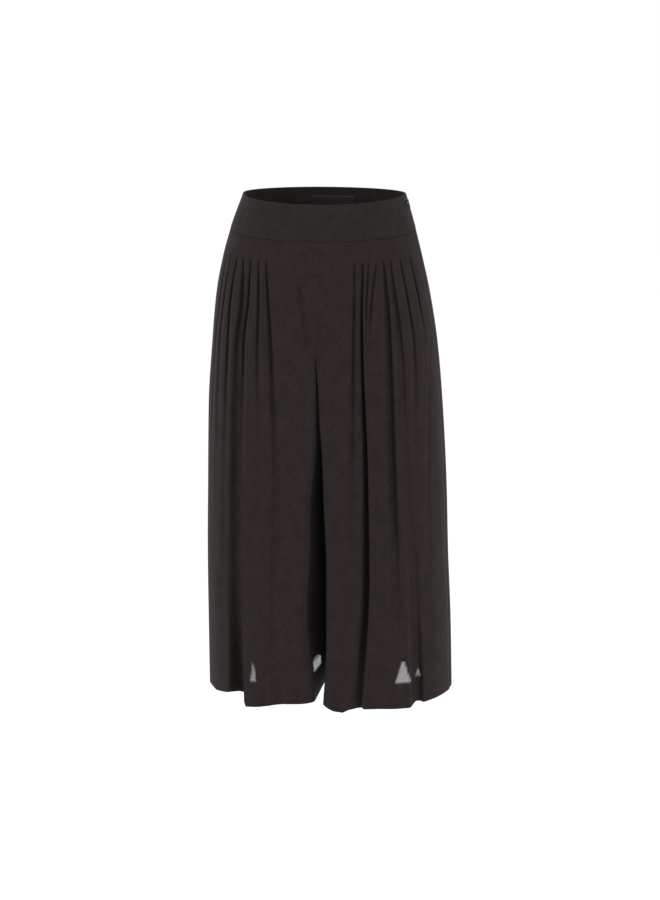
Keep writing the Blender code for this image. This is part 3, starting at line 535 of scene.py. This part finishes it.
def crepe(name, colour, sheer=False):
    made, tree, shader = new_material(name, colour, 0.86, sheen=0.04)
    shader.inputs["Specular IOR Level"].default_value = 0.08
    cloth = source(tree, "cloth")
    grain, threads = noise(tree, cloth, 560, 560, 3.0), noise(tree, cloth, 620, 120)
    patches = noise(tree, cloth, 60, 34, 4.0)
    fine = maths(tree, "ADD", maths(tree, "MULTIPLY", grain, 0.6), maths(tree, "MULTIPLY", threads, 0.4))
    both = maths(tree, "ADD", maths(tree, "MULTIPLY", fine, 0.80), maths(tree, "MULTIPLY", patches, 0.20))
    tinted(tree, shader, colour, spread(tree, both, 0, 1, 0.38, 0.62), 0.58, 1.42)
    tree.links.new(spread(tree, grain, 0.78, 0.94), shader.inputs["Roughness"])
    bumped(tree, shader, fine, 0.35, 0.0004)
    if sheer:
        mask = tree.nodes.new("ShaderNodeAttribute")
        mask.attribute_name = "sheer"
        weave = spread(tree, noise(tree, cloth, 620, 620, 3.0), 1 - SPECKLE, 1 + SPECKLE)
        let_past = maths(tree, "MULTIPLY", maths(tree, "MULTIPLY", mask.outputs["Fac"], SHEER_ALPHA), weave)
        tree.links.new(maths(tree, "SUBTRACT", 1.0, let_past), shader.inputs["Alpha"])
    return made


crepe_leg = crepe("crepe_leg", CREPE, sheer=True)
crepe_band = crepe("crepe_band", BAND_CREPE)
print("crepe:", CREPE)

# %% [markdown]
# ## Leg panels
# Each leg is a front and a back panel. A panel's rows go down to the hem, round its fold and up
# again inside, as a real turned-up hem does. Rows lie closest near the tucks and at the hem. The
# edges of each panel roll in a little, and that is what makes a seam read as a fine line.

# %% Rows from the band to the hem, and up inside
TOP_Z = BAND_FOOT - 0.0001
ROWS = np.concatenate([
    np.linspace(TOP_Z, -0.048, 6)[:-1], np.linspace(-0.048, -0.066, 10)[:-1],
    np.linspace(-0.066, -0.320, 72)[:-1], np.linspace(-0.320, HEM_Z + HEM_TURN, 78)[:-1],
    np.linspace(HEM_Z + HEM_TURN, HEM_Z, 11),
])
FOLD = ((0.00035, -0.0003), (0.0008, 0.0002))  # how far in and down the hem's fold goes
TURN_ROWS = np.linspace(HEM_Z + 0.003, HEM_Z + HEM_TURN, 8)
TURN_IN = 0.0009  # how far inside the face the turn-up hangs
HEM_LINE_FROM = -0.50  # the hem line's rise and fall dies out above this height
SEAM_ROLL, CENTRE_ROLL, SEAM_REACH = 0.0006, 0.0001, 0.0020
ROLL_BACK = 0.020  # below the crotch, how soon the inseam's edges roll in
SHEER_FRONT = (  # side, distance from the centre, half width, lowest, highest, how sheer
    (1, 0.1405, 0.0120, -0.7155, -0.6795, 1.00), (1, 0.1605, 0.0045, -0.7135, -0.7020, 0.90),
    (-1, 0.0908, 0.0062, -0.7170, -0.6840, 0.90),
)
SHEER_INNER = (-1, 0.0400, 0.1050, -0.717, -0.697, 1.00)  # on the right leg's inner face, by depth
SHEER_TOP, SHEER_SOFT, SHEER_SOFT_IN = 0.15, 0.003, 0.004  # share of the width left at the top; soft edges


def inset(points, thickness, start):
    along = np.diff(points, axis=0)
    along /= np.maximum(np.hypot(*along.T), 1e-9)[:, None]
    inward = np.stack([along[:, 1], -along[:, 0]], 1)
    before = np.concatenate([inward[:1], inward])
    after = np.concatenate([inward, inward[-1:]])
    miter = before + after
    miter /= np.maximum(np.hypot(*miter.T), 1e-9)[:, None]
    stretch = np.clip((miter * after).sum(1), 0.5, 1.0)
    miter[0], miter[-1] = (math.sin(start), -math.cos(start)), (-1, 0)
    stretch[0] = stretch[-1] = 1.0
    return points + miter * (thickness / stretch)[:, None]


def hem_drop(z, out, hem):
    places, drops = np.array(hem, float).T
    grown = smooth((HEM_LINE_FROM - z) / (HEM_LINE_FROM - HEM_Z))
    return 0.001 * np.interp(1000 * out, places, drops) * grown


def window(value, low, high, soft):
    return smooth((value - low + soft / 2) / soft) * smooth((high - value + soft / 2) / soft)


def sheerness(line, columns, corner_end, z, side, face):
    mask = np.zeros(len(line))
    if face > 0:
        return mask
    for which, centre, half, low, high, amount in SHEER_FRONT:
        if which == side:
            narrow = half * (SHEER_TOP + (1 - SHEER_TOP) * (high - z) / (high - low))
            here = window(line[:, 0], centre - narrow, centre + narrow, SHEER_SOFT)
            mask = np.maximum(mask, amount * here * float(window(z, low, high, SHEER_SOFT)))
    which, low_y, high_y, low, high, amount = SHEER_INNER
    if which == side:
        inside = (columns < corner_end) * window(line[:, 1], low_y, high_y, SHEER_SOFT_IN)
        mask = np.maximum(mask, amount * inside * float(window(z, low, high, SHEER_SOFT)))
    return mask


def leg_panel(name, side, face, pleats, creases, hem):
    grid, plan, sheer, widths = [], [], [], []

    def add(z, line, across, drop, down, mask):
        x, y = side * line[:, 0], face * line[:, 1]
        grid.append(np.stack([x, y, height_at(z, y) - drop], 1))
        plan.append(np.stack([across, np.full(len(across), down)], 1))
        sheer.append(mask)

    def row(z):
        line, columns, corner_end = cloth_row(z, side, face, pleats, creases)
        behind = line[:, 1].max() - line[0, 1] if z < (FRONT_FORK_Z if face < 0 else BACK_FORK_Z) else 0
        start = math.pi / 2 * float(smooth(behind / 0.004))
        sewn = math.cos(start) if z > CROTCH_Z else float(smooth((CROTCH_Z - z) / ROLL_BACK))
        rolls = ((CENTRE_ROLL * sewn, columns), (SEAM_ROLL, columns[-1] - columns))
        roll = sum(deep * np.clip(1 - edge / SEAM_REACH, 0, 1) ** 2 for deep, edge in rolls)
        return line + (inset(line, 1.0, start) - line) * roll[:, None], columns, corner_end, start

    for z in ROWS:
        line, columns, corner_end, start = row(z)
        mask = sheerness(line, columns, corner_end, z, side, face)
        add(z, line, columns - corner_end, hem_drop(z, line[:, 0], hem), z, mask)
        widths.append(float(lengths(line)[-1]))
    outer_last, drop_last, none = line, hem_drop(HEM_Z, line[:, 0], hem), np.zeros(len(line))
    for deep, low in FOLD:
        folded = inset(outer_last, deep, start)
        add(HEM_Z, folded, columns - corner_end, drop_last - low, HEM_Z - deep, none)
    for z in TURN_ROWS:
        line, columns, corner_end, start = row(z)
        down = 2 * HEM_Z - z
        add(z, inset(line, TURN_IN, start), columns - corner_end, hem_drop(z, line[:, 0], hem), down, none)
    grid, plan = np.array(grid), np.array(plan)
    obj = drape(name, grid, plan, (0.15 * side, face, 0), masks={"sheer": np.array(sheer)})
    obj.data.materials.append(crepe_leg)
    mean_widths = (np.array(widths[1:]) + np.array(widths[:-1])) / 2
    area = float((mean_widths * -np.diff(ROWS)).sum()) + widths[-1] * HEM_TURN
    long = ROWS[0] - ROWS[-1] + HEM_TURN
    print(name, grid.shape[:2], f"points, {max(widths):.3f} x {long:.3f} m, {area:.3f} m2")
    return obj, (max(widths), long), area, grid


PANELS = {
    "front_right": (-1, -1, RIGHT_FRONT_PLEATS, RIGHT_FRONT_CREASES, RIGHT_FRONT_HEM),
    "front_left": (1, -1, LEFT_FRONT_PLEATS, LEFT_FRONT_CREASES, LEFT_FRONT_HEM),
    "back_right": (-1, 1, BACK_PLEATS, BACK_CREASES, RIGHT_BACK_HEM),
    "back_left": (1, 1, BACK_PLEATS, BACK_CREASES, LEFT_BACK_HEM),
}
legs = {key: leg_panel(f"cloth_{key}", *values) for key, values in PANELS.items()}

# %% [markdown]
# ## Hem stitches
# A hem like this is caught by a blind stitch: only a prick of thread shows outside, every few
# millimetres. One small round shape, copied along the row where the turn-up ends, is enough.

# %% Prick stitches along each hem
STITCH_PITCH, STITCH_LONG, STITCH_THICK = 0.0065, 0.0016, 0.00045
STITCH_BELOW = 0.002  # the turn-up's raw edge
THREAD = (0.011, 0.008, 0.008)
thread, thread_tree, thread_shader = new_material("thread", THREAD, 0.8)
thread_shader.inputs["Specular IOR Level"].default_value = 0.1
twist = noise(thread_tree, source(thread_tree), 2500, 2500)
tinted(thread_tree, thread_shader, THREAD, twist, 0.8, 1.25)


def prick_stitches(name, grid):
    level = int(np.argmin(np.abs(ROWS - (HEM_Z + HEM_TURN - STITCH_BELOW))))
    line = grid[level]
    far = np.concatenate([[0], np.cumsum(np.linalg.norm(np.diff(line, axis=0), axis=1))])
    bm = bmesh.new()
    for d in np.arange(STITCH_PITCH, far[-1] - STITCH_PITCH / 2, STITCH_PITCH):
        at = [np.array([np.interp(d + s, far, line[:, k]) for k in range(3)]) for s in (0, 0.001)]
        way = Vector(at[1] - at[0]).normalized()
        turn = way.to_track_quat("X", "Z").to_matrix().to_4x4()
        size = Matrix.Diagonal((STITCH_LONG / 2, STITCH_THICK / 2, STITCH_THICK / 2, 1))
        place = Matrix.Translation(Vector(at[0])) @ turn @ size
        bmesh.ops.create_uvsphere(bm, u_segments=6, v_segments=5, radius=1.0, matrix=place)
    for f in bm.faces:
        f.smooth = True
    mesh = bpy.data.meshes.new(name)
    bm.to_mesh(mesh)
    bm.free()
    obj = bpy.data.objects.new(name, mesh)
    bpy.context.scene.collection.objects.link(obj)
    mesh.materials.append(thread)
    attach(obj, body)
    return obj, int(far[-1] / STITCH_PITCH)


for key, (panel, flat, area, grid) in legs.items():
    stitches, count = prick_stitches(f"hem_stitches_{key}", grid)
    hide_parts(f"leg_{key}")
    print(key, "has about", count, "stitches")

# %% [markdown]
# ## The waistband
# The band is a shaped strip, folded over along its top edge and faced inside, so its cross-section
# is one closed loop. The loop is carried round the waist from side seam to side seam. Small
# puckers by the zip and a few slanting creases keep it from looking moulded.

# %% Round the waist
BAND_CLOTH, BAND_PROUD, BAND_COLUMNS = 0.0022, 0.0005, 170
BAND_STEP, BAND_END_EASE = 0.0018, 0.004  # a column's rough width, and how soon creases start from an end
FOOT_EASE, TOP_EASE = 0.008, 0.006  # and how soon from the band's foot and top
BAND_CREASES = (  # x, height, x, height, depth, half width, all in millimetres
    (-122, -14, -110, 12, 0.7, 3), (-112, -16, -99, 8, 0.6, 3), (-60, 2, -42, 6, 0.6, 6),
    (-25, -8, -8, 2, 0.5, 6), (118, -18, 123, 16, 0.8, 2.5), (108, -16, 116, 14, -0.7, 3),
    (88, 2, 100, 10, 0.6, 5), (40, -12, 66, -6, 0.5, 6),
)


def whole_ring(z):
    parts = []
    for side in (-1, 1):
        out, forward, turn = ring(z, side, -1, 0.0)
        back_out, back_forward, back_turn = ring(z, side, 1, 0.0)
        x = np.concatenate([out[:ARC_POINTS], back_out[: ARC_POINTS - 1][::-1]])
        y = np.concatenate([-forward[:ARC_POINTS], back_forward[: ARC_POINTS - 1][::-1]])
        angle = np.concatenate([turn[:ARC_POINTS], math.pi - back_turn[: ARC_POINTS - 1][::-1]])
        points = np.stack([side * x, y], 1)
        way = np.stack([-side * np.sin(angle), np.cos(angle)], 1)
        parts.append((points, way, lengths(points)))
    (rp, rw, rl), (lp, lw, ll) = parts
    far = np.concatenate([-rl[:0:-1], ll])
    return np.concatenate([rp[:0:-1], lp]), np.concatenate([rw[:0:-1], lw]), far


def side_mark(z, side):
    points, _, far = whole_ring(z)
    keep = (np.sign(points[:, 0]) == side) & (np.abs(far) < 0.32)
    y, d = points[keep, 1], np.abs(far[keep])
    order = np.argsort(d)
    return side * float(np.interp(SIDE_SEAM_Y, y[order], d[order]))


def ring_points(z, distances, depth_in):
    points, way, far = whole_ring(z)
    at = np.stack([np.interp(distances, far, points[:, k]) for k in (0, 1)], 1)
    inward = np.stack([np.interp(distances, far, way[:, k]) for k in (0, 1)], 1)
    inward /= np.hypot(*inward.T)[:, None]
    return at + np.asarray(depth_in)[..., None] * inward


def band_stations(z, face):
    far = whole_ring(z)[2]
    left, right = side_mark(z, 1), side_mark(z, -1)
    if face < 0:
        return np.linspace(right + SEAM_GAP / 2, left - SEAM_GAP / 2, BAND_COLUMNS)
    start, stop = left + SEAM_GAP / 2, right - SEAM_GAP / 2
    reach = start + np.linspace(0, (far[-1] - start) + (stop - far[0]), BAND_COLUMNS)
    return np.where(reach <= far[-1], reach, far[0] + (reach - far[-1]))


def band_outline():
    """(height, depth in) round the folded strip, from the foot of its face back to that point."""
    out, back = -BAND_PROUD, BAND_CLOTH - BAND_PROUD
    middle, radius = (out + back) / 2, BAND_CLOTH / 2
    face_rise = np.linspace(BAND_FOOT + 0.0008, BAND_TOP - radius, 16)
    points = [(z, out) for z in face_rise]
    for angle in np.radians(np.linspace(0, 180, 9))[1:-1]:
        points.append((BAND_TOP - radius + radius * math.sin(angle), middle - radius * math.cos(angle)))
    points += [(z, back) for z in face_rise[::-1]]
    points += [(BAND_FOOT + 0.0002, back - 0.0004), (BAND_FOOT, middle), (BAND_FOOT + 0.0002, out + 0.0004)]
    return points + [points[0]]


def waistband(name, face):
    grid, plan, around = [], [], 0.0
    outline = band_outline()
    for k, (z, depth_in) in enumerate(outline):
        distances = band_stations(z, face)
        points = ring_points(z, distances, np.full(BAND_COLUMNS, depth_in))
        edge = np.minimum(np.arange(BAND_COLUMNS), np.arange(BAND_COLUMNS)[::-1]) * BAND_STEP
        soft = smooth((z - BAND_FOOT) / FOOT_EASE) * smooth((BAND_TOP - z) / TOP_EASE)
        soft = smooth(edge / BAND_END_EASE) * soft
        if face < 0 and depth_in < 0:
            push = crease_push(points[:, 0], z, BAND_CREASES) * soft
            points = ring_points(z, distances, depth_in + push)
        if k:
            around += math.hypot(z - outline[k - 1][0], depth_in - outline[k - 1][1])
        grid.append(np.column_stack([points, height_at(z, points[:, 1])]))
        along = np.linspace(0, lengths(points)[-1], BAND_COLUMNS)
        plan.append(np.stack([along, np.full(BAND_COLUMNS, around)], 1))
    grid = np.array(grid)
    obj = drape(name, grid, np.array(plan), (0, face, 0), loop=True)
    bm = bmesh.new()
    bm.from_mesh(obj.data)
    rims = [e for e in bm.edges if e.is_boundary]
    bmesh.ops.holes_fill(bm, edges=rims, sides=len(outline))
    bm.to_mesh(obj.data)
    bm.free()
    obj.data.materials.append(crepe_band)
    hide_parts(f"waistband_{name.rsplit('_', 1)[1]}")


waistband("band_front", -1)
waistband("band_back", 1)

# %% [markdown]
# ## The label
# A woven satin label sits inside the back of the band. It stays bare. Satin is all floating
# threads that lie one way, so its finish is a noise stretched along one direction, with gloss.

# %% A bare satin label
LABEL, LABEL_DROP, LABEL_CENTRE = (0.070, 0.022, 0.0004), 0.014, 0.004
LABEL_ROWS, LABEL_COLUMNS, LABEL_BOW = 13, 48, 0.0004
SATIN = (0.008, 0.007, 0.007)
satin, satin_tree, satin_shader = new_material("satin", SATIN, 0.60)
satin_shader.inputs["Specular IOR Level"].default_value = 0.25
floats = noise(satin_tree, source(satin_tree, "cloth"), 90, 2600)
tinted(satin_tree, satin_shader, SATIN, floats, 0.7, 1.4)
bumped(satin_tree, satin_shader, floats, 0.3, 0.0002)


def back_distance(z, x):
    points, _, far = whole_ring(z)
    pick = (np.sign(points[:, 0]) == (1 if x > 0 else -1)) & (points[:, 1] > 0)
    order = np.argsort(points[pick, 0])
    return float(np.interp(x, points[pick, 0][order], far[pick][order]))


def build_label():
    width, high, thick = LABEL
    near = BAND_CLOTH - BAND_PROUD + 0.0002 + thick
    grid, plan = [], []
    arch = np.sin(np.pi * np.linspace(0, 1, LABEL_COLUMNS)) ** 0.5
    for down in np.linspace(0, high, LABEL_ROWS):
        z = BAND_TOP - LABEL_DROP - down
        xs = np.linspace(LABEL_CENTRE - width / 2, LABEL_CENTRE + width / 2, LABEL_COLUMNS)
        distances = np.array([back_distance(z, x) for x in xs])
        bow = LABEL_BOW * np.sin(np.pi * down / high) * arch
        points = ring_points(z, distances, near + bow)
        grid.append(np.column_stack([points, np.full(LABEL_COLUMNS, z)]))
        plan.append(np.stack([xs, np.full(LABEL_COLUMNS, down)], 1))
    obj = drape("label_cloth", np.array(grid), np.array(plan), (0, -1, 0), thick)
    obj.data.materials.append(satin)
    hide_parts("label")


build_label()
print("label:", LABEL[0], "x", LABEL[1], "m")

# %% [markdown]
# ## The concealed zip
# The zip lies inside the left side seam: a woven tape on each side and a coil of teeth between.
# A coil's turns are all alike, so one small bevelled tooth is copied down the tape in a loop. The
# slider and its pull tab keep the shape that the solids give them, and only get a finish.

# %% Tape and teeth
ZIP_TOP, ZIP_FOOT, ZIP_WIDTH, ZIP_THICK, TOOTH_PITCH = 0.0190, -0.1900, 0.020, 0.0006, 0.0013
ZIP_ROWS, ZIP_COLUMNS = 90, 19
BAND_END, BAND_STEP_DOWN = -0.0235, 0.008  # where the tape steps out from behind the band
TAPE_BEHIND_BAND, TAPE_DEPTH = 0.0006, 0.0018  # its depth in behind the band's facing, and below it
TAPE_FACE, TEETH_FACE = 0.0007, 0.0011  # how far in from there the tape's face and its teeth are
TOOTH = (0.0032, 0.0008, 0.0007)  # across, out from the tape, high
NYLON = (0.018, 0.017, 0.018)
tape_material, tape_tree, tape_shader = new_material("nylon_tape", NYLON, 0.72, sheen=0.15)
herringbone = noise(tape_tree, source(tape_tree, "cloth"), 900, 2400)
tinted(tape_tree, tape_shader, NYLON, herringbone, 0.70, 1.20)
bumped(tape_tree, tape_shader, herringbone, 0.4, 0.0003)
nylon, nylon_tree, nylon_shader = new_material("nylon_teeth", NYLON, 0.38)
tinted(nylon_tree, nylon_shader, NYLON, noise(nylon_tree, source(nylon_tree), 1200, 1200), 0.8, 1.2)


def tape_depth(z):
    step = smooth((BAND_END - z) / BAND_STEP_DOWN)
    return (BAND_CLOTH - BAND_PROUD + TAPE_BEHIND_BAND) * (1 - step) + TAPE_DEPTH * step


def build_zip():
    grid, plan = [], []
    for z in np.linspace(ZIP_TOP, ZIP_FOOT, ZIP_ROWS):
        reach = np.linspace(-ZIP_WIDTH / 2, ZIP_WIDTH / 2, ZIP_COLUMNS)
        depth_in = np.full(ZIP_COLUMNS, tape_depth(z) + TAPE_FACE)
        points = ring_points(z, side_mark(z, 1) + reach, depth_in)
        grid.append(np.column_stack([points, height_at(z, points[:, 1])]))
        plan.append(np.stack([reach, np.full(ZIP_COLUMNS, z)], 1))
    tape = drape("tape_cloth", np.array(grid), np.array(plan), (-1, 0, 0), ZIP_THICK)
    tape.data.materials.append(tape_material)
    bm = bmesh.new()
    for z in np.arange(ZIP_FOOT + 0.004, ZIP_TOP - 0.006, TOOTH_PITCH):
        d = side_mark(z, 1)
        at, beside = ring_points(z, np.array([d, d + 0.004]), np.full(2, tape_depth(z) + TEETH_FACE))
        across = Vector((*(beside - at), 0)).normalized()
        axes = Matrix((across, across.cross(Vector((0, 0, 1))), Vector((0, 0, 1)))).transposed()
        centre = Matrix.Translation((*at, height_at(z, at[1])))
        place = centre @ axes.to_4x4() @ Matrix.Diagonal((*TOOTH, 1))
        made = bmesh.ops.create_cube(bm, size=1.0, matrix=place)
        edges = {e for v in made["verts"] for e in v.link_edges}
        bmesh.ops.bevel(
            bm, geom=list(edges), offset=0.00016, offset_type="OFFSET", segments=1, profile=0.5,
            affect="EDGES", material=-1,
        )
    mesh = bpy.data.meshes.new("zip_teeth")
    bm.to_mesh(mesh)
    bm.free()
    teeth = bpy.data.objects.new("zip_teeth", mesh)
    bpy.context.scene.collection.objects.link(teeth)
    mesh.materials.append(nylon)
    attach(teeth, body)
    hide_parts("zip_tape")
    return len(mesh.polygons)


print("zip teeth faces:", build_zip())

# %% [markdown]
# ## Enamel on the slider
# Small zip parts are dipped in dark enamel that wears a little at the edges. A noise in the
# object's own coordinates varies the gloss.

# %% Slider and pull
ENAMEL = (0.020, 0.019, 0.020)
enamel, enamel_tree, enamel_shader = new_material("enamel", ENAMEL, 0.32, metallic=0.6)
wear = noise(enamel_tree, source(enamel_tree), 700, 700, 4.0)
tinted(enamel_tree, enamel_shader, ENAMEL, spread(enamel_tree, wear, 0, 1), 0.8, 1.6)
enamel_tree.links.new(spread(enamel_tree, wear, 0.24, 0.46), enamel_shader.inputs["Roughness"])
for node in ("zip_slider", "zip_pull"):
    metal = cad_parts[node]
    metal.data.materials.clear()
    metal.data.materials.append(enamel)
print("enamelled: slider and pull")

# %% [markdown]
# ## Floor
# A pale floor keeps the ground plain. It lies far enough below the hem that the garment doesn't
# shade it, and it is wide enough that its edge is out of sight.

# %% Floor
FLOOR_Z, FLOOR_HALF = -1.75, 120.0
WHITE = (0.93, 0.93, 0.93)
white, white_tree, white_shader = new_material("floor_white", WHITE, 0.9)
tinted(white_tree, white_shader, WHITE, noise(white_tree, source(white_tree), 2, 2), 1.0, 1.01)
bm = bmesh.new()
under = Matrix.Translation((0, 0, FLOOR_Z))
bmesh.ops.create_grid(bm, x_segments=2, y_segments=2, size=FLOOR_HALF, matrix=under)
floor_mesh = bpy.data.meshes.new("floor")
bm.to_mesh(floor_mesh)
bm.free()
floor = bpy.data.objects.new("floor", floor_mesh)
bpy.context.scene.collection.objects.link(floor)
floor_mesh.materials.append(white)
print("floor at", FLOOR_Z)

# %% [markdown]
# ## Light
# A dark cloth needs light that wraps round it, or its folds turn to plain black. A white surround
# does most of that, and two large soft lamps give the folds their direction.

# %% Surround and lamps
world = bpy.data.worlds.new("surround")
world.use_nodes = True
world.node_tree.nodes["Background"].inputs["Color"].default_value = (1, 1, 1, 1)
world.node_tree.nodes["Background"].inputs["Strength"].default_value = 1.08
bpy.context.scene.world = world
MIDDLE = Vector((0, 0, -0.376))
LAMPS = (("key", (-4.2, -2.8, 1.7), 2.6, 150.0), ("fill", (4.4, -2.2, 1.1), 2.6, 130.0))
for name, place, size, watts in LAMPS:
    lamp = bpy.data.lights.new(name, "AREA")
    lamp.size, lamp.energy = size, watts
    obj = bpy.data.objects.new(name, lamp)
    obj.location = place
    obj.rotation_euler = (MIDDLE - Vector(place)).to_track_quat("-Z", "Y").to_euler()
    bpy.context.scene.collection.objects.link(obj)
print("lamps:", len(LAMPS))

# %% [markdown]
# ## Camera
# The garment is seen a little from the wearer's left and from above. A long lens some metres away
# keeps its sides nearly straight, and the angles say where the camera stands.

# %% Camera
AZIMUTH, ELEVATION, DISTANCE = math.radians(8), math.radians(10), 5.0
LENS, SIDE_STEP = 128.0, 0.011  # the step to the side puts the garment where the picture has it
camera = bpy.data.cameras.new("camera")
camera.lens, camera.sensor_width, camera.clip_end = LENS, 36.0, 400.0
level = math.cos(ELEVATION)
back = Vector((math.sin(AZIMUTH) * level, -math.cos(AZIMUTH) * level, math.sin(ELEVATION)))
aim = MIDDLE + SIDE_STEP * Vector((math.cos(AZIMUTH), math.sin(AZIMUTH), 0))
view = bpy.data.objects.new("camera", camera)
view.location = aim + DISTANCE * back
view.rotation_euler = (-back).to_track_quat("-Z", "Y").to_euler()
bpy.context.scene.collection.objects.link(view)
bpy.context.scene.camera = view
bpy.context.scene.view_settings.view_transform = "Standard"
print("camera at", [round(c, 3) for c in view.location])
